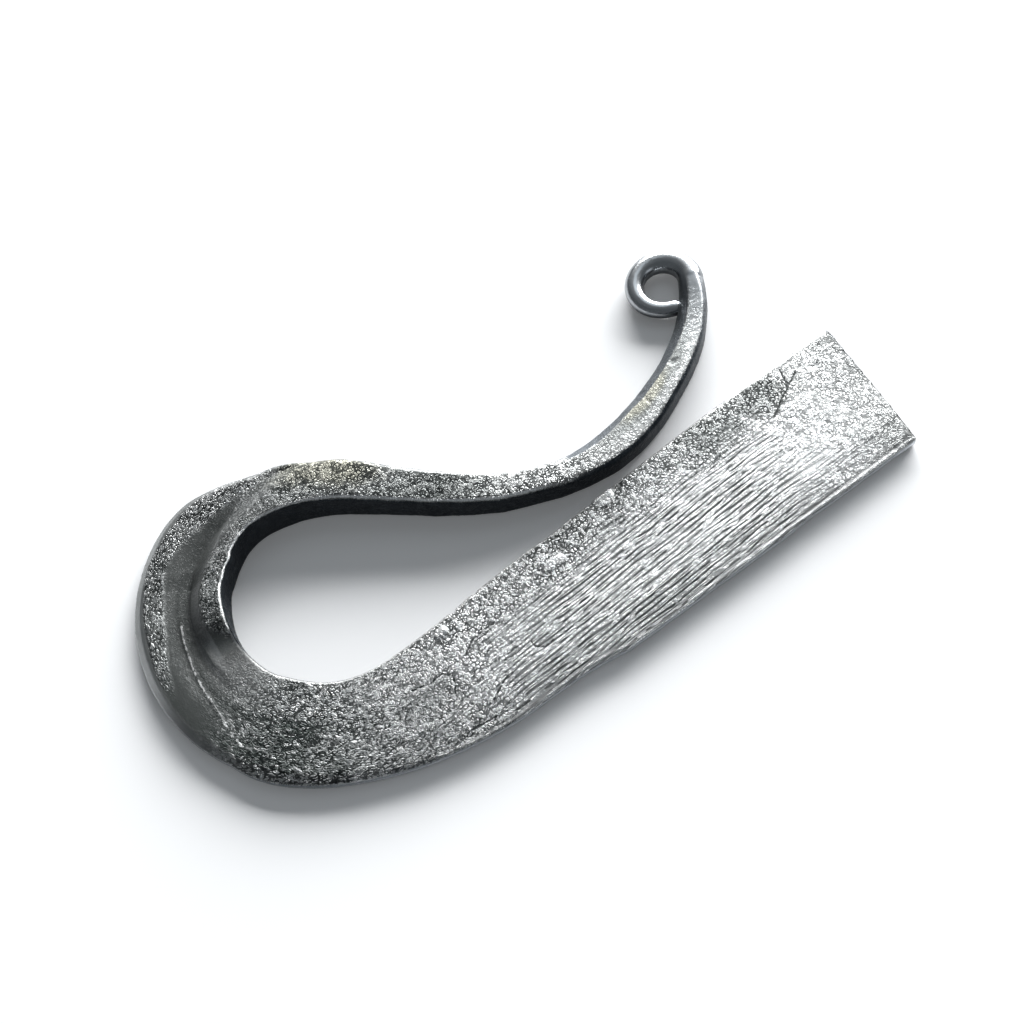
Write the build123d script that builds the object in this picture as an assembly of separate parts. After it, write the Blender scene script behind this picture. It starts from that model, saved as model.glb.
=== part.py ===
from build123d import *
import os
from math import cos, radians, sin

# A hand-forged fire steel: one bar of carbon steel, in millimetres.
# It lies flat, underside at Z = 0, with the striking bar along X and its free end at +X.
# The origin is the middle of its outline, on the underside.
# The spine is the line that the smith bends: it runs just inside the inner edge of the
# striking bar, round the bend, down the middle of the tail and round the curl.

# Inner edge of the striking bar, from its free end to the bend. It is straight, then
# turns a little and is straight again along the taper
bar_length = 66.2
taper_run = 43.3
taper_radius = 90.0
taper_turn = 2.9
free_run = bar_length - taper_run - taper_radius * radians(taper_turn)

# The rest of the spine: bends as radius and turn in degrees, and the straight of the tail
lower_bend_radius = 14.7
lower_bend_turn = 103.5
upper_bend_radius = 12.45
upper_bend_turn = 121.4
tail_run = 16.3
sweep_radius = 26.4
sweep_turn = 103.0
curl_radius = 3.65
curl_turn = 271.0

# Striking bar: flat, widest at its free end, which is cut off a little askew
spine_inset = 1.1
bar_width = 18.4
shoulder_width = 15.9
neck_width = 14.4
bar_thickness = 2.0
striking_edge_thickness = 1.7
end_skew = -6.0
edge_softness = 0.3

# Bend: a raised lip on the inner side, a hollow beside it and a thin flange outside
lip_width = 2.4
lip_height = 3.9
flange_reach = 10.7
flange_crown_reach = 7.6
flange_crown_thickness = 2.1
flange_edge_thickness = 1.2
flange_bevel = 1.2
hollow_reach = 3.4
hollow_thickness = 1.6

# Lower bend, where the lip rises. Each line: place along the bend, then in bar
# thicknesses the lip height, hollow thickness, reach and thickness of the outer edge
rising_lip = [
    (0.35, 1.0, 1.0, 5.6, 0.8),
    (0.60, 1.0, 0.95, 5.35, 0.75),
    (0.80, 1.17, 0.9, 5.35, 0.65),
    (0.92, 1.5, 0.8, 5.35, 0.6),
]

# Upper bend, where the flange runs out into the tail. Each line: place along the bend,
# then in bar thicknesses the lip (inner edge, ridge, height), and the reach and height of
# the hollow, the crown and the outer edge
closing_flange = [
    (0.20, (-0.7, 0.45, 2.12), (1.7, 0.8), (3.8, 1.05), (5.35, 0.6)),
    (0.35, (-0.95, 0.05, 2.32), (1.5, 0.95), (3.4, 1.1), (5.2, 0.6)),
    (0.50, (-1.0, -0.1, 2.47), (1.1, 1.3), (2.7, 1.2), (4.5, 0.7)),
    (0.62, (-1.25, -0.1, 2.57), (0.9, 1.75), (1.9, 1.5), (3.2, 1.0)),
    (0.74, (-1.45, 0.2, 2.6), (0.95, 2.15), (1.45, 1.9), (2.35, 1.4)),
    (0.87, (-1.5, 0.65, 2.6), (1.0, 2.45), (1.3, 2.25), (1.7, 1.9)),
]

# Tail: as high and wide as this where the bend ends, thin at its waist, then flattened
tail_inner_reach = 2.8
tail_outer_reach = 3.0
tail_height = 5.2
tail_corner = 0.45
waist_reach = 1.8
waist_height = 3.9
waist_flare = 0.2
flat_inner_corner = 0.45
flat_outer_corner = 1.5

# Straight of the tail. Each line: place along it, then in bar thicknesses its inner and
# outer side and its height
straight_tail = [
    (0.35, -1.2, 1.4, 2.5),
    (0.70, -1.15, 1.15, 2.35),
    (1.00, -1.05, 1.1, 2.25),
]

# Sweep past its waist, in the same terms
swept_tail = [
    (0.34, -1.05, 1.25, 1.8),
    (0.45, -1.1, 1.45, 1.7),
    (0.57, -0.95, 1.5, 1.7),
    (0.69, -0.8, 1.4, 1.7),
    (0.82, -0.87, 1.15, 1.65),
]
waist_place = 0.24
before_waist_place = 0.11

# Curl: round stock, drawn out towards its tip
curl_stock = 3.4
tip_stock = 2.1
tip_rise = 0.3

# Each smooth stretch of the bar runs through this many sections past its first
stretch = 4
curl_sections = 12


def follow(line, radius, turn):
    """The bend that leaves the end of a line or bend without a corner."""
    return JernArc(line @ 1, line % 1, radius, turn)


def lead_on(line, length):
    """The straight run that leaves the end of a bend without a corner."""
    return Line(line @ 1, line @ 1 + line % 1 * length)


free_line = Line((0, 0), (-free_run, 0))
taper_bend = follow(free_line, taper_radius, taper_turn)
taper_line = lead_on(taper_bend, taper_run)
lower_bend = follow(taper_line, lower_bend_radius, -lower_bend_turn)
upper_bend = follow(lower_bend, upper_bend_radius, -upper_bend_turn)
tail_line = lead_on(upper_bend, tail_run)
sweep_bend = follow(tail_line, sweep_radius, sweep_turn)
curl_bend = follow(sweep_bend, curl_radius, curl_turn)


def cross_plane(line, share, skew=0.0):
    """A plane across the spine: its X points to the outer side, its Y points up."""
    along = (line % share).rotate(Axis.Z, skew)
    return Plane(origin=line @ share, x_dir=along.rotate(Axis.Z, 90), z_dir=along)


def flat_section(width):
    """A flat bar, from its inner edge to its striking edge, with softened edges."""
    soft = edge_softness
    inner = -spine_inset
    outer = width - spine_inset
    return [
        (inner + soft, 0),
        (inner, soft),
        (inner, bar_thickness - soft),
        (inner + soft, bar_thickness),
        (inner + lip_width, bar_thickness),
        (hollow_reach, bar_thickness),
        (outer - 3 * flange_bevel, bar_thickness),
        (outer - soft, striking_edge_thickness),
        (outer, striking_edge_thickness - soft),
        (outer, soft),
        (outer - soft, 0),
    ]


def bend_section(lip, hollow, crown, rim):
    """The bend: a lip (inner edge, ridge, height), then hollow, crown and rim (reach, height)."""
    soft = edge_softness
    inner, ridge, height = lip
    outer, edge = rim
    bevel = max(outer - flange_bevel, (crown[0] + outer) / 2)
    return [
        (inner + soft, 0),
        (inner, soft),
        (inner, height - soft),
        (inner + soft, height),
        (ridge, height),
        hollow,
        crown,
        (bevel, crown[1]),
        (outer, edge),
        (outer, soft),
        (outer - soft, 0),
    ]


def tail_section(inner, outer, height, inner_corner, outer_corner):
    """The tail: a bar from inner to outer side of the spine, with cut-off corners."""
    foot = tail_corner
    shoulder = height - outer_corner
    return [
        (inner + foot, 0),
        (inner, foot),
        (inner, height - inner_corner),
        (inner + inner_corner, height),
        (outer - outer_corner, height),
        (outer - outer_corner / 2, (height + shoulder) / 2),
        (outer, shoulder),
        (outer, between(foot, shoulder, 0.67)),
        (outer, between(foot, shoulder, 0.33)),
        (outer, foot),
        (outer - foot, 0),
    ]


def round_section(diameter):
    """The round stock of the curl, as corners on its circle in the same order."""
    corners = (247.5, 202.5, 157.5, 112.5, 67.5, 45, 22.5, 7.5, -7.5, -22.5, -67.5)
    radius = diameter / 2
    return [(radius * cos(radians(a)), radius + radius * sin(radians(a))) for a in corners]


def between(first, last, share):
    """The size that lies this share of the way from the first size to the last."""
    return first + (last - first) * share


def in_bar_thicknesses(sizes):
    """Sizes given as shares of the bar's thickness, in millimetres."""
    return tuple(size * bar_thickness for size in sizes)


def cross_face(line, share, corners, skew=0.0):
    """A section of the bar, set across the spine."""
    return cross_plane(line, share, skew) * make_face(Polyline(*corners, close=True))


def flat_bar():
    """The flat of the striking bar, from its free end to the middle of its taper."""
    stations = [
        (free_line, 0.0, flat_section(bar_width), end_skew),
        (free_line, 1.0, flat_section(bar_width)),
        (taper_line, 0.0, flat_section(bar_width)),
        (taper_line, 0.5, flat_section(taper_width(0.5))),
    ]
    return loft([cross_face(*station) for station in stations], ruled=True)


def taper_width(share):
    """The bar's width along its taper, where its striking edge is still straight."""
    return bar_width - taper_run * share * sin(radians(taper_turn))


def bend_stations():
    """The sections of the bar from the middle of its taper to the end of the bend."""
    inner = -spine_inset
    ridge = inner + lip_width
    crown = (flange_crown_reach, flange_crown_thickness)
    stations = [
        (taper_line, 0.5, flat_section(taper_width(0.5))),
        (taper_line, 0.75, flat_section(shoulder_width)),
        (taper_line, 1.0, flat_section(neck_width)),
    ]
    for place, *sizes in rising_lip:
        height, dip, reach, edge = in_bar_thicknesses(sizes)
        section = bend_section((inner, ridge, height), (hollow_reach, dip), crown, (reach, edge))
        stations.append((lower_bend, place, section))
    hollow = (hollow_reach, hollow_thickness)
    rim = (flange_reach, flange_edge_thickness)
    stations.append((upper_bend, 0.05, bend_section((inner, ridge, lip_height), hollow, crown, rim)))
    for place, *parts in closing_flange:
        section = bend_section(*[in_bar_thicknesses(part) for part in parts])
        stations.append((upper_bend, place, section))
    stations.append((tail_line, 0.0, root_section()))
    return stations


def root_section():
    """The tail where the bend ends."""
    return tail_section(-tail_inner_reach, tail_outer_reach, tail_height, tail_corner, tail_corner)


def tail_stations():
    """The sections of the bar from the end of the bend to the start of the curl."""
    corner = tail_corner
    flared = waist_reach + waist_flare
    before_waist = tail_section(-waist_reach, flared, waist_height + waist_flare, corner, corner)
    waist = tail_section(-waist_reach, waist_reach, waist_height, corner, corner)
    stations = [(tail_line, 0.0, root_section())]
    for place, *sizes in straight_tail:
        section = tail_section(*in_bar_thicknesses(sizes), corner, corner)
        stations.append((tail_line, place, section))
    stations.append((sweep_bend, before_waist_place, before_waist))
    stations.append((sweep_bend, waist_place, waist))
    for place, *sizes in swept_tail:
        section = tail_section(*in_bar_thicknesses(sizes), flat_inner_corner, flat_outer_corner)
        stations.append((sweep_bend, place, section))
    stations.append((sweep_bend, 1.0, round_section(curl_stock)))
    return stations


def forged(stations):
    """The bar through these sections, in smooth stretches that share a section."""
    solids = []
    for start in range(0, len(stations) - 1, stretch):
        faces = [cross_face(*station) for station in stations[start : start + stretch + 1]]
        solids.append(loft(faces))
    return solids


def curl():
    """The round curl, a loft of circles, with a rounded tip beside the tail."""
    circles = []
    for step in range(curl_sections + 1):
        share = step / curl_sections
        radius = between(curl_stock, tip_stock, share) / 2
        height = radius + tip_rise * share
        circles.append(cross_plane(curl_bend, share) * Pos(0, height) * Circle(radius))
    tip = Pos(*(curl_bend @ 1)) * Pos(0, 0, tip_stock / 2 + tip_rise) * Sphere(tip_stock / 2)
    return loft(circles) + tip


striker = flat_bar() + [*forged(bend_stations()), *forged(tail_stations()), curl()]
middle = striker.bounding_box().center()
striker = Pos(-middle.X, -middle.Y, 0) * striker

os.makedirs("parts", exist_ok=True)
export_step(striker, "parts/striker.step")
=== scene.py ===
import math

import bpy
import numpy as np
from mathutils import Matrix, Vector

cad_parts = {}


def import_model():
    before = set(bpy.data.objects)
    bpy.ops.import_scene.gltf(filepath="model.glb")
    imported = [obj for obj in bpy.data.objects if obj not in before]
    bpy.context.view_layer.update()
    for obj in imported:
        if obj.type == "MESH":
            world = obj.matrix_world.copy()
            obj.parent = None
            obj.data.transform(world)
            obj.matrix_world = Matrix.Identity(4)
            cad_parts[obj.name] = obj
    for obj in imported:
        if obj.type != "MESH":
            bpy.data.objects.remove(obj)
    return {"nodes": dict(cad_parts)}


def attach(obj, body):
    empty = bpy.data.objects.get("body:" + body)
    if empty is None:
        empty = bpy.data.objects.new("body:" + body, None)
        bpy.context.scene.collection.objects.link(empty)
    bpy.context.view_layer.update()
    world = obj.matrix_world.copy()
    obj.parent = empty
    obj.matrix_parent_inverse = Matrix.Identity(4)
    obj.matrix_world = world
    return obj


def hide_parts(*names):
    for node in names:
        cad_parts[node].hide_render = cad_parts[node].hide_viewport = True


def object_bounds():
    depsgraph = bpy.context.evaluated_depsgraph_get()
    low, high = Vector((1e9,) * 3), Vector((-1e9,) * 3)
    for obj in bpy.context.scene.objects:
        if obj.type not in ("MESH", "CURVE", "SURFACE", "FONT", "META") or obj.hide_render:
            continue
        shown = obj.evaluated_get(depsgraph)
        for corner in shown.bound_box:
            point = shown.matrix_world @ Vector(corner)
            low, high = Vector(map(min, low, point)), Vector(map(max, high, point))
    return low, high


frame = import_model()
cad_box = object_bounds()

# A hand-forged fire steel. Sizes are in mm until the mesh is written back in metres.
# A place on it is (s, u): s along the spine from the bar's free end, u across the spine
# to the outer side, with the striking edge at u 17.3
MM = 0.001
VOXEL = 0.2

# Spine of the forging. Each stretch is a line with its length, or an arc with its radius
# and its turn in degrees
SPINE_START = (46.085, -7.863)
SPINE = [
    ("line", 18.35, 0),
    ("arc", 90.0, 2.9),
    ("line", 43.3, 0),
    ("arc", 14.7, -103.5),
    ("arc", 12.45, -121.4),
    ("line", 16.3, 0),
    ("arc", 26.4, 103.0),
    ("arc", 3.65, 271.0),
]
SAMPLE_STEP = 0.1
BATCH = 20000

# Where one part of the forging turns into the next, in s
BAR_ENDS = (64, 76)
BEND = (84, 110)
TAIL_ROOT = (104, 116)
PAST_WAIST = (140, 150)
CURL_STARTS = (176, 184)
CURL_TIP = (198.6, 201.3)
STRIKING_SIDE = (8, 10)

# Edges in the bend, as (s, u): the textured band by the rim and the lip's worn top
BAND_OUTER = [(88, 9.3), (94, 8.9), (97, 9.2), (100, 9.5), (102, 8.9), (105, 8.3),
              (107, 7.4), (110, 6.2), (112, 5.4)]
BAND_INNER = [(88, 8.6), (91, 7.7), (94, 6.7), (97, 6.6), (100, 7.1), (102, 6.3),
              (104, 5.0), (107, 3.9), (110, 3.1), (112, 3.0)]
LIP_OUTER = [(90, 1.2), (93, 1.4), (96, 1.2), (100, 1.0), (102, 0.8), (106, 1.7),
             (110, 3.6), (114, 5.0)]

# Cracks and the raised crease of the bend, as paths of (s, u)
CRACKS = [
    [(8.0, -0.2), (8.5, 1.4), (9.0, 2.5), (10.6, 3.3), (12.8, 4.7)],
    [(6.8, 1.3), (7.6, 1.8), (9.0, 2.5)],
    [(55.8, 4.2), (57.5, 4.0), (58.8, 4.3)],
    [(54.6, 3.6), (56.4, 3.5), (58.0, 3.6), (59.6, 4.6)],
    [(62.3, 5.5), (63.1, 4.7), (64.9, 4.7), (66.9, 4.0)],
    [(62.3, 5.5), (62.7, 6.8), (63.3, 7.5)],
    [(61.3, 12.8), (62.7, 12.5), (64.3, 12.2)],
    [(50.8, 9.9), (52.0, 9.9), (52.8, 9.1), (52.9, 8.2)],
    [(57.5, 9.8), (59.0, 10.4), (60.4, 11.1)],
    [(43.6, 4.3), (44.7, 4.0), (45.9, 3.9)],
]
CREASE = [(94.6, 4.6), (91.5, 4.8), (89.7, 5.1), (88.4, 5.3), (86.7, 5.6), (84.9, 6.2),
          (83.4, 7.3), (81.8, 8.2)]

# Flakes of scale as (s, u, reach along, reach across), and notches in the bar's inner edge
# as (s, u, reach)
FLAKES = [(35.2, -0.5, 1.5, 1.1), (44.9, 2.3, 1.7, 0.7), (60.2, 0.4, 0.9, 0.6)]
NOTCHES = [(36.9, -1.3, 0.5), (57.6, -1.0, 0.6), (66.8, -1.4, 0.5), (54.2, -1.2, 0.35)]

# Relief, as heights and depths
HAMMER_DEPTH = 0.07
SCALE_DEPTH = 0.042
GRAIN_DEPTH = 0.035
PIT_DEPTH = 0.09
MARK_DEPTH = 0.12
CRACK_DEPTH = 0.05
FLAKE_HEIGHT = 0.16
CREASE_HEIGHT = 0.08
VALLEY_DEPTH = 0.05
BAND_HEIGHT = 0.05
CORNER_REACH = 0.12
NOTCH_DEPTH = 0.3
SLOW_WAVE = 0.10
QUICK_WAVE = 0.05
LIP_FULLNESS = 0.4
KNUCKLE_FULLNESS = 0.22
TIP_REACH = 1.0
FLAT_HEIGHT = 2.05

# Steel along the spine, as (s, tone): 1 is bright metal, 0 is dark scale
TONE = [(0, 0.42), (14, 0.82), (30, 0.90), (58, 1.0), (68, 0.46), (78, 0.08), (88, 0.07),
        (104, 0.27), (116, 0.33), (135, 0.20), (146, 0.70), (158, 0.20), (172, 0.20),
        (181, 0.22), (186, 0.9)]


def spine_point(x, y, heading, stretch, distance):
    """The point and heading at this distance along a stretch that starts at (x, y)."""
    kind, size, turn = stretch
    if kind == "line":
        return x + distance * math.cos(heading), y + distance * math.sin(heading), heading
    way = math.copysign(1, turn)
    there = heading + way * distance / size
    return (x - way * size * (math.sin(heading) - math.sin(there)),
            y + way * size * (math.cos(heading) - math.cos(there)), there)


def spine_samples():
    """Points, headings and lengths along the spine."""
    x, y = SPINE_START
    heading = math.pi
    length = 0.0
    samples = []
    for stretch in SPINE:
        kind, size, turn = stretch
        run = size if kind == "line" else size * abs(math.radians(turn))
        steps = max(2, int(run / SAMPLE_STEP))
        for step in range(steps):
            distance = run * step / steps
            samples.append((*spine_point(x, y, heading, stretch, distance), length + distance))
        x, y, heading = spine_point(x, y, heading, stretch, run)
        length += run
    samples.append((x, y, heading, length))
    return np.array(samples)


def along_and_across(points, samples):
    """Each point's length along the spine, its distance to the outer side and the heading there."""
    out = np.zeros((len(points), 3))
    for start in range(0, len(points), BATCH):
        p = points[start:start + BATCH]
        gap = (p[:, None, 0] - samples[None, :, 0]) ** 2 + (p[:, None, 1] - samples[None, :, 1]) ** 2
        near = samples[gap.argmin(1)]
        dx, dy = p[:, 0] - near[:, 0], p[:, 1] - near[:, 1]
        cos, sin = np.cos(near[:, 2]), np.sin(near[:, 2])
        out[start:start + BATCH, 0] = near[:, 3] + dx * cos + dy * sin
        out[start:start + BATCH, 1] = -dx * sin + dy * cos
        out[start:start + BATCH, 2] = near[:, 2]
    return out


# Noise from seeded directions on a lattice
CELLS = 256
NOISE_GAIN = 1.6
LATTICE = np.random.default_rng(11).permutation(CELLS)
LATTICE = np.concatenate([LATTICE, LATTICE])
DIRECTIONS = np.random.default_rng(12).normal(size=(CELLS, 3))
DIRECTIONS /= np.linalg.norm(DIRECTIONS, axis=1)[:, None]


def noise(points):
    """Gradient noise, about -1 to 1, at each row of points."""
    cell = np.floor(points).astype(int)
    f = points - cell
    w = f * f * f * (f * (f * 6 - 15) + 10)
    total = 0
    for i in (0, 1):
        for j in (0, 1):
            for k in (0, 1):
                a = LATTICE[(cell[:, 0] + i) & (CELLS - 1)]
                b = LATTICE[(a + cell[:, 1] + j) & (CELLS - 1)]
                g = DIRECTIONS[LATTICE[(b + cell[:, 2] + k) & (CELLS - 1)]]
                dot = g[:, 0] * (f[:, 0] - i) + g[:, 1] * (f[:, 1] - j) + g[:, 2] * (f[:, 2] - k)
                wx = w[:, 0] if i else 1 - w[:, 0]
                wy = w[:, 1] if j else 1 - w[:, 1]
                wz = w[:, 2] if k else 1 - w[:, 2]
                total = total + dot * wx * wy * wz
    return total * NOISE_GAIN


def fractal(points, octaves):
    """Layers of noise, each half as strong and twice as fine as the last."""
    total, strength = 0, 1.0
    for octave in range(octaves):
        total = total + strength * noise(points * 2 ** octave + 17.3 * octave)
        strength *= 0.5
    return total


def ridges(points, octaves):
    """Thin wandering lines: above 0 on a line, 0 between them."""
    net = 1 - np.clip(np.abs(fractal(points, octaves)) * 3.0, 0, 1)
    return np.maximum(net - 0.4, 0)


def rise(x, low, high):
    """0 below low, 1 above high, smooth between."""
    t = np.clip((x - low) / (high - low), 0, 1)
    return t * t * (3 - 2 * t)


def fall(x, low, high):
    """1 below low, 0 above high, smooth between."""
    return 1 - rise(x, low, high)


def between(x, start, full, fading, end):
    """1 from full to fading, 0 before start and past end, smooth between."""
    return rise(x, start, full) * fall(x, fading, end)


def columns(*values):
    """The values side by side, one row for each vertex."""
    return np.stack(np.broadcast_arrays(*values), 1)


def fine_copy(cad):
    """An object of its own with the solid's shape under a fine even mesh, in mm."""
    mesh = cad.data.copy()
    mesh.materials.clear()
    mesh.transform(Matrix.Scale(1 / MM, 4))
    copy = bpy.data.objects.new("forged_striker", mesh)
    bpy.context.scene.collection.objects.link(copy)
    remesh = copy.modifiers.new("remesh", "REMESH")
    remesh.mode = "VOXEL"
    remesh.voxel_size = VOXEL
    soften = copy.modifiers.new("soften", "SMOOTH")
    soften.factor = 0.5
    soften.iterations = 5
    evaluated = copy.evaluated_get(bpy.context.evaluated_depsgraph_get())
    fine = bpy.data.meshes.new_from_object(evaluated)
    copy.modifiers.clear()
    copy.data = fine
    return copy


striker = fine_copy(frame["nodes"]["striker"])
fine = striker.data
count = len(fine.vertices)


def vertex_rows(name):
    """One row of three numbers for each vertex: its place or its normal."""
    values = np.zeros(count * 3)
    fine.vertices.foreach_get(name, values)
    return values.reshape(-1, 3)


co = vertex_rows("co")
normal = vertex_rows("normal")
s, u, bearing = along_and_across(co, spine_samples()).T
z = co[:, 2]
across = columns(-np.sin(bearing), np.cos(bearing))
ahead = columns(np.cos(bearing), np.sin(bearing))
up = normal[:, 2]
outward = (normal[:, :2] * across).sum(1)
backward = -(normal[:, :2] * ahead).sum(1)


def on_spine(points):
    """A value that follows s through these (s, value) points."""
    places, values = zip(*points)
    return np.interp(s, places, values)


def span_s(low, high, soft):
    """1 between two places along the spine."""
    return between(s, low - soft, low + soft, high - soft, high + soft)


def distance_to(path):
    """Distance in mm to the path through these (s, u) points."""
    nearest = np.full(count, 3.0)
    for (s0, u0), (s1, u1) in zip(path, path[1:]):
        ds, du = s1 - s0, u1 - u0
        t = np.clip(((s - s0) * ds + (u - u0) * du) / (ds * ds + du * du), 0, 1)
        nearest = np.minimum(nearest, np.hypot(s - s0 - t * ds, u - u0 - t * du))
    return nearest


def patch(s0, u0, reach_s, reach_u, soft):
    """1 in an uneven oval about (s0, u0), 0 outside it."""
    wobble = 0.18 * noise(columns(s * 0.9, u * 0.9, s0))
    distance = np.hypot((s - s0) / reach_s, (u - u0) / reach_u) + wobble
    return fall(distance, 1 - soft, 1 + soft)


# Zones, as shares from 0 to 1
tail_flank = rise(up, 0.0, 0.35) * rise(u, 1.5, 3.0) * span_s(104, 121, 2)
top = np.maximum(rise(up, 0.3, 0.8), tail_flank)
under = rise(-up, 0.3, 0.8)
side = (1 - top) * (1 - under)
striking_side = rise(u, *STRIKING_SIDE)
on_bar = fall(s, *BAR_ENDS)
tail = rise(s, *TAIL_ROOT)
after_waist = rise(s, *PAST_WAIST)
curl_share = rise(s, *CURL_STARTS)
bend = span_s(*BEND, 4)
drift = noise(columns(s * 0.12, u * 0.25, 0))
long_grain = fall(s + 8 * drift, 50, 70) * rise(u + 3.0 * drift, 1.0, 6.5) * rise(s + 6 * drift, 4, 18)

# Bend: textured band by the rim, bevel, lip, dark facet with its hollow, and the lip's foot
band_out = on_spine(BAND_OUTER)
band_in = on_spine(BAND_INNER)
lip_out = on_spine(LIP_OUTER)
band = between(u, band_in - 0.5, band_in + 0.3, band_out - 0.15, band_out + 0.15) * span_s(90, 112, 2)
bevel = rise(u, band_out - 0.1, band_out + 0.25) * span_s(88, 104, 3)
lip = fall(u, lip_out - 0.15, lip_out + 0.15) * rise(s - u * 1.25, 90.9, 91.5) * (1 - tail)
slope = fall(u, 1.6, 2.6) * span_s(89.2, 91.5, 0.5) * (1 - lip)
facet = bend * np.clip(1 - band - bevel - lip, 0, 1)
hollow = bend * between(u, lip_out + 0.1, lip_out + 0.9, lip_out + 2.2, lip_out + 4.2)
valley_painted_light = between(u, 2.0, 2.8, 3.2, 4.4) * span_s(86, 104, 3)
pebbled = rise(s, 60, 76) * fall(s - u * 0.6, 86, 91)
inner_pebbles = pebbled * fall(u, 2.8, 5.0)
outer_left = rise(s, 79, 85) * (1 - tail) * rise(u, 5.5, 8.5) * (1 - band)

# Marks: cracks, crease, flakes with their rims, and the dull patches near the free end
crack_gap = np.min([distance_to(path) for path in CRACKS], axis=0)
crease_gap = distance_to(CREASE)
flake = np.zeros(count)
flake_rim = np.zeros(count)
for s0, u0, reach_s, reach_u in FLAKES:
    inside = patch(s0, u0, reach_s, reach_u, 0.12)
    flake = np.maximum(flake, inside)
    flake_rim = np.maximum(flake_rim, 1 - np.abs(inside * 2 - 1))
# A shallow groove along the top border of the striking edge, dark partly as a groove and partly as
# painted shade
edge_groove_and_shade = between(outward, 0.06, 0.16, 0.22, 0.36) * (up > 0.3) * striking_side * fall(s, 60, 74)
marks = np.maximum(flake_rim * 0.7 * top, 0.6 * edge_groove_and_shade)
dull = np.maximum(patch(12.2, 1.7, 3.4, 2.6, 0.25), 0.7 * patch(20.0, 2.0, 4.5, 3.2, 0.5))

# Relief along the normal: hammer flats, scale and pits on rough steel, and the marks above
rough_share = np.clip(1 - 0.85 * curl_share - 0.75 * facet - 0.9 * bevel * top - 0.3 * slope, 0.1, 1)
rough_share *= 1 - 0.5 * side
scale = SCALE_DEPTH * ridges(co * 1.1, 3) * (1 - long_grain)
grain = GRAIN_DEPTH * ridges(columns(s * 0.26, u * 1.2, 0), 2) * long_grain * top
pits = PIT_DEPTH * rise(noise(co * 0.55 + 40.0), 0.5, 0.8) * (1 - long_grain) * (1 - side)
corner = 4 * (np.clip(outward, 0, 1) * np.clip(up, 0, 1)) ** 2 * striking_side * on_bar
relief = -HAMMER_DEPTH * np.abs(fractal(co * 0.16, 2)) * (1 - 0.6 * curl_share)
relief -= (scale + grain + pits) * rough_share
relief -= (MARK_DEPTH * marks + CRACK_DEPTH * fall(crack_gap, 0, 0.26)) * top
relief += (FLAKE_HEIGHT * flake + CREASE_HEIGHT * fall(crease_gap, 0, 0.3) + BAND_HEIGHT * band) * top
relief -= VALLEY_DEPTH * bend * between(u, 4.6, 5.2, 5.2, 6.6) * top
relief += CORNER_REACH * corner
moved = co + normal * relief[:, None]

# Uneven outline: slow and quick waves, other ones on the inner than on the outer side
which_side = rise(outward, -0.2, 0.2) * 9
wave = SLOW_WAVE * noise(columns(s * 0.13, which_side, 0))
wave += QUICK_WAVE * noise(columns(s * 0.45, which_side, 5))
push = wave * (1 - 0.7 * span_s(66, 104, 6)) * np.sign(outward) * rise(np.abs(outward), 0.3, 0.8)
push *= 1 - curl_share

# Notches in the inner edge of the bar. They are dark, and join the marks
for s0, u0, reach in NOTCHES:
    bite = NOTCH_DEPTH * np.clip(1 - np.hypot(s - s0, u - u0) / reach, 0, 1)
    push += bite
    marks = np.maximum(marks, rise(bite, 0.05, 0.25) * 0.8)

# Inner edge of the lip, a little fuller than the sections, with a small knuckle
fuller = LIP_FULLNESS * span_s(92.0, 98.5, 3.0)
fuller += KNUCKLE_FULLNESS * span_s(100.6, 102.0, 0.5) * rise(z, 1.2, 2.6)
push -= fuller * rise(-u, -0.9, 0.6)
moved[:, :2] += across * push[:, None]

# Tip of the curl, pressed against the side of the tail
tip = np.clip((s - CURL_TIP[0]) / 1.6, 0, 1) * (s < CURL_TIP[1]) * (np.abs(u) < 1.3)
moved[:, :2] += ahead * (tip * TIP_REACH)[:, None]

# The lip's foot runs out quickly into the flat of the lower bend
foot = 0.85 * between(s, 79, 82, 90.2, 93.0) * (up > 0.2)
moved[:, 2] -= foot * np.maximum(moved[:, 2] - FLAT_HEIGHT, 0)

# The mesh stays in the box of the solid
moved = np.clip(moved * MM, *np.array(cad_box))
fine.vertices.foreach_set("co", moved.ravel())
fine.update()

# Tone, with what each place adds to it
# Painted light: the bend's outer slopes that turn away from the key lamp are painted lighter, as if
# lit
painted_light_on_away_slopes = rise(outward, 0.12, 0.4) * (up > 0.15) * span_s(70, 94, 4)
TONE_CHANGES = [
    (0.24, inner_pebbles),
    (0.10, band),
    (0.14, band * rise(s, 99, 105)),
    # Painted light on the bevel as well, which faces away from the key lamp
    (0.20, bevel),
    (0.07, lip),
    (0.04, facet * (1 - hollow)),
    # The groove beside the lip, painted a little lighter against its shade
    (0.03, valley_painted_light),
    (0.32, painted_light_on_away_slopes),
    (0.12, flake),
    # Painted highlight: sparkle along the tail's inner top edge past the waist
    (0.20, rise(-u, -0.4, 0.6) * span_s(155, 176, 4)),
    (-0.28, fall(u, 2.0, 5.5) * span_s(12, 56, 6)),
    (-0.06, rise(u, 7.5, 9.5) * span_s(70, 92, 4)),
    (-0.35, dull),
    (-0.12, patch(79.0, 4.6, 4.0, 1.3, 0.5)),
    (-0.15, patch(64.5, 6.5, 3.2, 2.0, 0.6)),
]
tone = on_spine(TONE) * (1 - 0.6 * facet) * (1 - 0.3 * hollow) * (1 - 0.35 * outer_left)
for amount, where in TONE_CHANGES:
    tone = tone + amount * where

# Where the metal colour goes and where the dark wall colour: ground steel on top; on the walls dark
# scale together with painted shade
# Past the waist only the flat top keeps the metal colour, so the tail's sloping facets are painted in
# shade
flat_top = np.where(s > 150, rise(up, 0.8, 0.95), top)
lit = flat_top * after_waist + top * (1 - after_waist)
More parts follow.
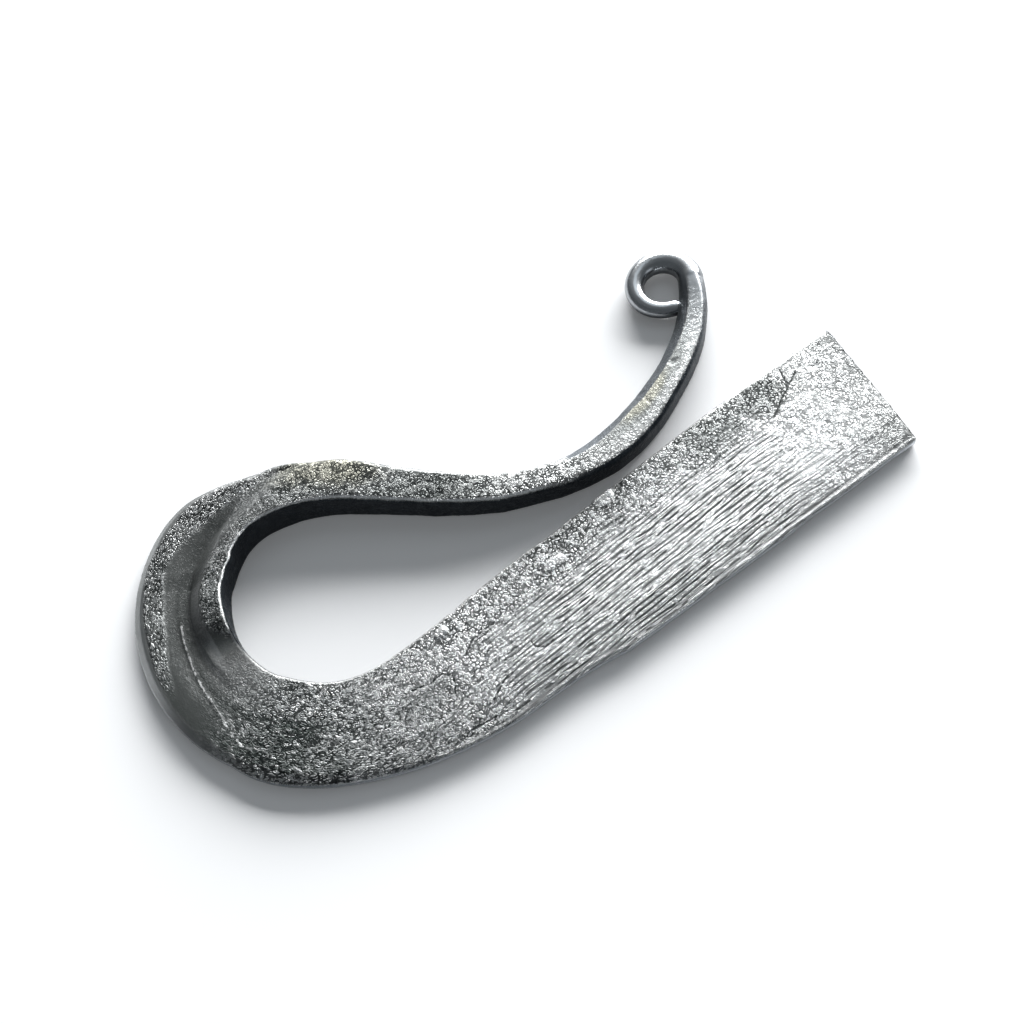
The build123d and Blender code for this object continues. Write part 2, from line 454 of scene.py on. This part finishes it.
# The rounded top of the striking edge on the bar is painted lit with the metal colour
lit = np.maximum(lit, rise(up, 0.08, 0.3) * striking_side * on_bar)

# How strongly the fine lines show
texture = 1 - 0.72 * facet - 0.85 * bevel - 0.15 * slope - 0.35 * outer_left
texture = texture - 0.85 * curl_share - 0.4 * flake
texture = texture * (1 - 0.3 * fall(s, 4, 22) * (1 - dull)) * (1 - 0.6 * span_s(154, 184, 6))

# Rims lightened as wear and as painted highlight, the striking wall with its painted sheen and its
# pale colour that is partly painted light, and the end wall, which takes the walls' dark colour
inner_rim = between(-outward, 0.3, 0.5, 0.66, 0.82) * (up > 0)
outer_rim = between(outward, 0.3, 0.5, 0.66, 0.82) * (up > 0)
rim_line = between(outward, 0.68, 0.8, 0.9, 0.98) * (up > 0)
# Rim lines lightened as wear and as painted highlights: inner and outer top edges, and the bend's
# outer rim line
wear_and_painted_highlight = inner_rim * (0.3 + 0.7 * span_s(90, 146, 2)) * fall(s, 144, 154)
wear_and_painted_highlight = np.maximum(wear_and_painted_highlight, outer_rim * 0.3 * (span_s(0, 68, 3) + span_s(126, 142, 3)))
wear_and_painted_highlight = np.maximum(wear_and_painted_highlight, rim_line * 0.45 * span_s(72, 104, 3))
# The striking wall, ground pale and also painted lighter as if lit; the tail's outer facet at 142 to
# 178 is painted a little lighter in the same way
ground_wall_and_light = side * rise(outward, 0.2, 0.7) * (1 - 0.6 * rise(s, 66, 78)) * fall(s, 78, 96)
ground_wall_and_light = np.maximum(ground_wall_and_light, 0.15 * rise(outward, 0.2, 0.5) * span_s(142, 178, 4))
# Painted highlight: a sheen band at mid-height of the striking wall
wear_and_painted_highlight = np.maximum(wear_and_painted_highlight, 0.7 * ground_wall_and_light * between(z, 0.55, 0.75, 0.85, 1.1))
end_wall = rise(backward, 0.05, 0.2) * fall(s, 0.6, 1.4)


def store(name, kind, field, values):
    """Keeps values on the vertices, for the material to read."""
    attribute = fine.attributes.new(name, kind, "POINT")
    attribute.data.foreach_set(field, np.asarray(values, np.float32).ravel())


LOOKS = {
    "lit": lit * (1 - end_wall),
    "tone": np.clip(tone, 0.02, 1),
    "texture": np.clip(texture, 0.04, 1),
    "long_grain": long_grain,
    "pebbled": np.clip(pebbled + band + lip * 0.5 + 0.5 * outer_left, 0, 1),
    "wear_and_painted_highlight": wear_and_painted_highlight * (1 - end_wall),
    "marks": marks,
    "facet": facet * (1 - slope) * (up > 0),
    "crack_gap": crack_gap,
    "crease_gap": crease_gap,
    # Painted shade: a dark line along the rounded edge at the free end
    "end_edge_shade": rise(backward, 0.12, 0.4) * fall(s, 1.9, 2.4),
    "ground_wall_and_light": ground_wall_and_light,
    "olive": patch(119.0, 1.6, 6.0, 2.4, 0.5) + 0.8 * patch(163.5, 1.4, 4.5, 1.2, 0.4),
    "gloss": rise(s, 168, 186) * (0.25 + 0.75 * rise(up, -0.1, 0.5)),
}
store("forge", "FLOAT_VECTOR", "vector", columns(s, u, z))
for name, values in LOOKS.items():
    store(name, "FLOAT", "value", values)
for polygon in fine.polygons:
    polygon.use_smooth = True


class Nodes:
    """Short calls for building one material's nodes."""

    def __init__(self, name):
        self.material = bpy.data.materials.new(name)
        self.material.use_nodes = True
        self.tree = self.material.node_tree
        self.tree.nodes.clear()

    def add(self, kind, **values):
        node = self.tree.nodes.new(kind)
        for key, value in values.items():
            setattr(node, key, value)
        return node

    def join(self, source, target):
        self.tree.links.new(source, target)

    def put(self, socket, value):
        """Links a node's output to the socket, or sets the socket to a constant."""
        if isinstance(value, bpy.types.NodeSocket):
            self.join(value, socket)
        else:
            socket.default_value = value

    def finish(self, surface):
        """The material, with this shader on its surface."""
        out = self.add("ShaderNodeOutputMaterial")
        self.join(surface, out.inputs["Surface"])
        return self.material

    def attribute(self, name, output="Fac"):
        node = self.add("ShaderNodeAttribute", attribute_name=name, attribute_type="GEOMETRY")
        return node.outputs[output]

    def scaled(self, vector, scale):
        node = self.add("ShaderNodeVectorMath", operation="MULTIPLY")
        self.put(node.inputs[0], vector)
        node.inputs[1].default_value = scale
        return node.outputs[0]

    def noise(self, vector, scale, detail, distortion=0.0, output="Fac"):
        node = self.add("ShaderNodeTexNoise", noise_dimensions="3D")
        self.put(node.inputs["Vector"], vector)
        node.inputs["Scale"].default_value = scale
        node.inputs["Detail"].default_value = detail
        node.inputs["Distortion"].default_value = distortion
        return node.outputs[output]

    def math(self, operation, a, b=0.0, clamp=False):
        node = self.add("ShaderNodeMath", operation=operation, use_clamp=clamp)
        self.put(node.inputs[0], a)
        self.put(node.inputs[1], b)
        return node.outputs[0]

    def plus(self, a, b, clamp=False):
        return self.math("ADD", a, b, clamp)

    def times(self, a, b):
        return self.math("MULTIPLY", a, b)

    def higher(self, a, b):
        return self.math("MAXIMUM", a, b)

    def off_middle(self, value):
        """The distance of a value from 0.5."""
        return self.math("ABSOLUTE", self.math("SUBTRACT", value, 0.5))

    def span(self, value, low, high, to_low=0.0, to_high=1.0):
        """Goes smoothly from to_low, where value is low, to to_high, where it is high."""
        node = self.add("ShaderNodeMapRange", interpolation_type="SMOOTHSTEP")
        self.put(node.inputs["Value"], value)
        self.put(node.inputs["From Min"], low)
        self.put(node.inputs["From Max"], high)
        self.put(node.inputs["To Min"], to_low)
        self.put(node.inputs["To Max"], to_high)
        return node.outputs["Result"]

    def mix(self, share, a, b):
        node = self.add("ShaderNodeMix", data_type="FLOAT")
        self.put(node.inputs[0], share)
        self.put(node.inputs[2], a)
        self.put(node.inputs[3], b)
        return node.outputs[0]

    def mix_colour(self, share, a, b):
        node = self.add("ShaderNodeMix", data_type="RGBA")
        self.put(node.inputs[0], share)
        self.put(node.inputs[6], a)
        self.put(node.inputs[7], b)
        return node.outputs[2]

    def net(self, vector, scale, width, detail, distortion):
        """A net of thin wandering lines, 1 on a line."""
        gap = self.off_middle(self.noise(vector, scale, detail, distortion))
        return self.span(gap, width, width * 0.5)

    def strokes(self, flow, pitch, wander, width):
        """Thin wavy strokes along the bar, this far apart in mm, broken here and there."""
        parts = self.add("ShaderNodeSeparateXYZ")
        self.put(parts.inputs[0], flow)
        waves = self.noise(self.scaled(flow, (0.13, 0.40, pitch)), 1.0, 2.0, 0.4)
        place = self.plus(self.times(parts.outputs[1], 1 / pitch), self.times(waves, wander))
        gap = self.off_middle(self.math("FRACT", place))
        breaks = self.noise(self.scaled(flow, (0.45, 1 / pitch, 1.0)), 1.0, 1.0)
        return self.times(self.span(gap, width, width * 0.6), self.span(breaks, 0.38, 0.45))

    def crackle(self, vector, scale, width):
        """Thin dark borders of small grains, broken here and there."""
        reach = 0.8 / scale
        cloud = self.noise(vector, scale * 0.7, 1.0, output="Color")
        bent = self.add("ShaderNodeVectorMath", operation="ADD")
        self.put(bent.inputs[0], vector)
        self.put(bent.inputs[1], self.scaled(cloud, (reach, reach, reach)))
        cells = self.add("ShaderNodeTexVoronoi", feature="DISTANCE_TO_EDGE")
        self.put(cells.inputs["Vector"], bent.outputs[0])
        cells.inputs["Scale"].default_value = scale
        breaks = self.noise(vector, scale * 0.5, 1.0)
        borders = self.span(cells.outputs["Distance"], width, width * 0.6)
        return self.times(borders, self.span(breaks, 0.38, 0.50))


# Colours of the steel
BRIGHT_STEEL = (0.90, 0.91, 0.91, 1)
DARK_SCALE = (0.076, 0.086, 0.082, 1)
OLIVE_OXIDE = (0.40, 0.38, 0.28, 1)
GROOVE = (0.012, 0.015, 0.015, 1)
# The walls' dark is partly scale and partly painted shade
DARK_WALL = (0.012, 0.016, 0.020, 1)
PALE_WALL = (0.050, 0.058, 0.066, 1)
# Pale bluish wall colour: ground steel with painted light
GROUND_WALL_AND_LIGHT = (0.50, 0.54, 0.58, 1)
# Light colour for rims that are rubbed bright and painted as highlights
CORNER_WEAR_AND_HIGHLIGHT = (0.92, 0.93, 0.93, 1)
# Painted highlight along the raised crease
CREASE_HIGHLIGHT = (0.85, 0.86, 0.86, 1)
DARK_CURL = (0.17, 0.18, 0.19, 1)
BRIGHT_CURL = (0.55, 0.57, 0.59, 1)
FACET_SHADE = (0.0, 0.0, 0.0, 1)
# Painted shade on the free end's rounded edge
END_EDGE_SHADE = (0.002, 0.002, 0.002, 1)


def fine_lines(n, place, flow):
    """Fine dark lines, 1 on a line: along the bar where it is ground, a scribble elsewhere."""
    along = n.higher(n.strokes(flow, 0.60, 1.7, 0.28), n.times(n.strokes(flow, 0.38, 2.4, 0.24), 0.85))
    about = n.higher(n.crackle(place, 2.1, 0.21), n.times(n.net(place, 2.6, 0.075, 1.5, 0.8), 0.85))
    pebbles = n.higher(n.crackle(n.scaled(flow, (0.9, 1.1, 1.0)), 2.3, 0.17),
                       n.net(n.scaled(flow, (1.1, 1.4, 1.0)), 1.7, 0.06, 1.5, 0.8))
    about = n.mix(n.attribute("pebbled"), about, pebbles)
    along = n.higher(along, n.times(about, 0.6))
    lines = n.mix(n.attribute("long_grain"), about, along)
    density = n.span(n.noise(place, 0.22, 3.0, 0.6), 0.36, 0.58, 0.85, 1.0)
    return n.times(n.times(lines, density), n.attribute("texture"))


def steel_tone(n, place, flow):
    """The tone of the steel, with cloudy patches, and bright specks on the pebbled steel that are
    painted glints.
    """
    texture = n.attribute("texture")
    # Painted glints: bright specks on the pebbled steel
    painted_glint = n.span(n.noise(n.scaled(flow, (1.0, 1.3, 0.6)), 2.1, 1.5, 0.6), 0.55, 0.62)
    painted_glint = n.times(n.times(painted_glint, n.attribute("pebbled")), texture)
    patches = n.math("SUBTRACT", n.noise(place, 0.35, 4.0, 0.4), 0.5)
    tone = n.plus(n.attribute("tone"), n.times(patches, n.times(texture, 0.4)))
    return n.plus(tone, n.times(painted_glint, 0.45), clamp=True)


def steel_colour(n, place, tone, cut, crease_highlight):
    """Metal on top, dark scale and painted shade on the walls, painted highlights on rims, crease and
    striking wall, and the colours of single places.
    """
    metal = n.mix_colour(tone, DARK_SCALE, BRIGHT_STEEL)
    metal = n.mix_colour(n.times(n.attribute("olive"), 0.5), metal, OLIVE_OXIDE)
    metal = n.mix_colour(n.times(cut, 0.93), metal, GROOVE)
    wall = n.mix_colour(n.noise(place, 0.9, 4.0), DARK_WALL, PALE_WALL)
    # The striking wall's colour is partly painted light
    wall = n.mix_colour(n.attribute("ground_wall_and_light"), wall, GROUND_WALL_AND_LIGHT)
    # Metal colour on the tops, wall colour on the walls, which is partly painted shade
    colour = n.mix_colour(n.attribute("lit"), wall, metal)
    # Wear and painted highlights on the rims, and the painted sheen on the striking wall
    colour = n.mix_colour(n.attribute("wear_and_painted_highlight"), colour, CORNER_WEAR_AND_HIGHLIGHT)
    # Painted highlight along the crease
    colour = n.mix_colour(crease_highlight, colour, CREASE_HIGHLIGHT)
    curl = n.mix_colour(tone, DARK_CURL, BRIGHT_CURL)
    colour = n.mix_colour(n.times(n.attribute("gloss"), 0.8), colour, curl)
    colour = n.mix_colour(n.times(n.attribute("facet"), 0.5), colour, FACET_SHADE)
    # Painted shade line along the free end's edge
    return n.mix_colour(n.attribute("end_edge_shade"), colour, END_EDGE_SHADE)


def steel_bump(n, place, cut):
    """The finest relief, under what the mesh can hold: grit and the grooves of the lines."""
    grainy = n.attribute("long_grain")
    fine_grit = n.times(n.noise(place, 3.2, 2.0), n.mix(grainy, 0.8, 0.3))
    pebble_grit = n.times(n.noise(place, 1.4, 3.0), 2.0)
    grit = n.times(n.mix(n.attribute("pebbled"), fine_grit, pebble_grit), n.attribute("texture"))
    height = n.plus(n.times(cut, n.mix(grainy, -0.6, -0.3)), grit)
    height = n.plus(height, n.times(n.noise(place, 4.0, 3.0), 0.12))
    height = n.times(height, n.mix(n.attribute("gloss"), 1.0, 0.15))
    bump = n.add("ShaderNodeBump")
    bump.inputs["Strength"].default_value = 0.8
    bump.inputs["Distance"].default_value = 0.11 * MM
    n.join(height, bump.inputs["Height"])
    return bump.outputs[0]


def steel():
    """Forged carbon steel: bright on top, dark scale and painted shade on the walls, dark in the
    grooves, with painted highlights and glints.
    """
    n = Nodes("forged_steel")
    place = n.scaled(n.add("ShaderNodeTexCoord").outputs["Object"], (1 / MM, 1 / MM, 1 / MM))
    flow = n.attribute("forge", "Vector")
    lit = n.attribute("lit")
    tone = steel_tone(n, place, flow)

    # Cracks and the crease are lines about their paths that waver a little; the crease line is a
    # painted highlight along its raised ridge
    waver = n.times(n.math("SUBTRACT", n.noise(place, 2.2, 2.0), 0.5), 0.45)
    crack_line = n.times(n.span(n.plus(n.attribute("crack_gap"), waver), 0.17, 0.08), lit)
    crease_highlight = n.times(n.span(n.plus(n.attribute("crease_gap"), waver), 0.12, 0.03), lit)
    cut = n.higher(fine_lines(n, place, flow), n.higher(n.attribute("marks"), crack_line))

    # Bright steel is smoother than scale, grooves are rougher, and the curl is polished
    rough = n.plus(n.mix(tone, 0.46, 0.36), n.times(cut, 0.2))
    rough = n.mix(n.attribute("gloss"), rough, 0.27)

    shader = n.add("ShaderNodeBsdfPrincipled")
    n.join(n.mix(n.attribute("facet"), 1.0, 0.35), shader.inputs["Metallic"])
    n.join(steel_colour(n, place, tone, cut, crease_highlight), shader.inputs["Base Color"])
    n.join(rough, shader.inputs["Roughness"])
    n.join(steel_bump(n, place, cut), shader.inputs["Normal"])
    return n.finish(shader.outputs[0])


fine.materials.clear()
fine.materials.append(steel())
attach(striker, "root")
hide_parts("striker")


# Floor and world, in metres
FLOOR_REACH = 1.0
FLOOR_DROP = 0.00002
FLOOR_COLOUR = (0.80, 0.81, 0.82, 1)
FLOOR_GLOW = 0.08
WHITE = (1, 1, 1, 1)
COOL_WHITE = (0.87, 0.94, 1.0, 1)
WORLD_LIGHT = 0.15


def floor_material():
    """Pale floor that shows white to the camera and keeps the object's shadow."""
    n = Nodes("floor")
    path = n.add("ShaderNodeLightPath")
    seen = n.higher(path.outputs["Is Camera Ray"], path.outputs["Is Glossy Ray"])
    seen = n.higher(seen, path.outputs["Is Transmission Ray"])
    diffuse = n.add("ShaderNodeBsdfDiffuse")
    diffuse.inputs["Color"].default_value = FLOOR_COLOUR
    glow = n.add("ShaderNodeEmission")
    glow.inputs["Color"].default_value = WHITE
    n.join(n.times(seen, FLOOR_GLOW), glow.inputs["Strength"])
    both = n.add("ShaderNodeAddShader")
    n.join(diffuse.outputs[0], both.inputs[0])
    n.join(glow.outputs[0], both.inputs[1])
    return n.finish(both.outputs[0])


def floor():
    """A plain square floor, just under the object."""
    corners = [(x * FLOOR_REACH, y * FLOOR_REACH, -FLOOR_DROP)
               for x, y in ((-1, -1), (1, -1), (1, 1), (-1, 1))]
    mesh = bpy.data.meshes.new("floor")
    mesh.from_pydata(corners, [], [(0, 1, 2, 3)])
    mesh.materials.append(floor_material())
    plane = bpy.data.objects.new("floor", mesh)
    bpy.context.scene.collection.objects.link(plane)


def world():
    """White where the camera looks past the floor, and a dim cool light elsewhere."""
    sky = bpy.data.worlds.new("world")
    bpy.context.scene.world = sky
    sky.use_nodes = True
    tree = sky.node_tree
    tree.nodes.clear()
    either = tree.nodes.new("ShaderNodeMixShader")
    path = tree.nodes.new("ShaderNodeLightPath")
    tree.links.new(path.outputs["Is Camera Ray"], either.inputs[0])
    for slot, colour, strength in ((1, COOL_WHITE, WORLD_LIGHT), (2, WHITE, 1.0)):
        background = tree.nodes.new("ShaderNodeBackground")
        background.inputs["Color"].default_value = colour
        background.inputs["Strength"].default_value = strength
        tree.links.new(background.outputs[0], either.inputs[slot])
    out = tree.nodes.new("ShaderNodeOutputWorld")
    tree.links.new(either.outputs[0], out.inputs["Surface"])


def area_light(name, place, aim, size, power, colour=(1, 1, 1)):
    """A soft rectangular lamp at a place in metres, aimed at another."""
    lamp = bpy.data.lights.new(name, "AREA")
    lamp.shape = "RECTANGLE"
    lamp.size, lamp.size_y = size
    lamp.energy = power
    lamp.color = colour
    light = bpy.data.objects.new(name, lamp)
    light.location = place
    light.rotation_euler = (Vector(aim) - Vector(place)).to_track_quat("-Z", "Y").to_euler()
    bpy.context.scene.collection.objects.link(light)


floor()
world()
area_light("key", (1.46, 1.23, 0.54), (0, 0, 0), (2.20, 1.05), 196.0)
area_light("overhead", (0.28, 0.20, 0.50), (0.02, 0, 0), (0.30, 0.30), 0.19, (0.84, 0.93, 1.0))
area_light("fill", (0.35, -0.95, 0.30), (0, 0, 0), (0.60, 0.30), 0.5, (0.90, 0.95, 1.0))

# Camera of the photo, fitted on the outline: its place in mm and its axes
EYE = (-18.365, -76.163, 145.909)
RIGHT = (0.81360614, -0.55531481, -0.17225127)
UP = (0.56872751, 0.69856495, 0.4342304)
BACK = (-0.12080587, -0.45125655, 0.88417954)
SENSOR_WIDTH = 36.0
FOCAL_PIXELS = 1350
PHOTO_PIXELS = 1024

camera_data = bpy.data.cameras.new("camera")
camera_data.sensor_width = SENSOR_WIDTH
camera_data.lens = SENSOR_WIDTH * FOCAL_PIXELS / PHOTO_PIXELS
camera_data.clip_start = 0.005
camera = bpy.data.objects.new("camera", camera_data)
eye = [value * MM for value in EYE]
camera.matrix_world = Matrix((*zip(RIGHT, UP, BACK, eye), (0, 0, 0, 1)))
bpy.context.scene.collection.objects.link(camera)
bpy.context.scene.camera = camera
bpy.context.scene.view_settings.view_transform = "Standard"
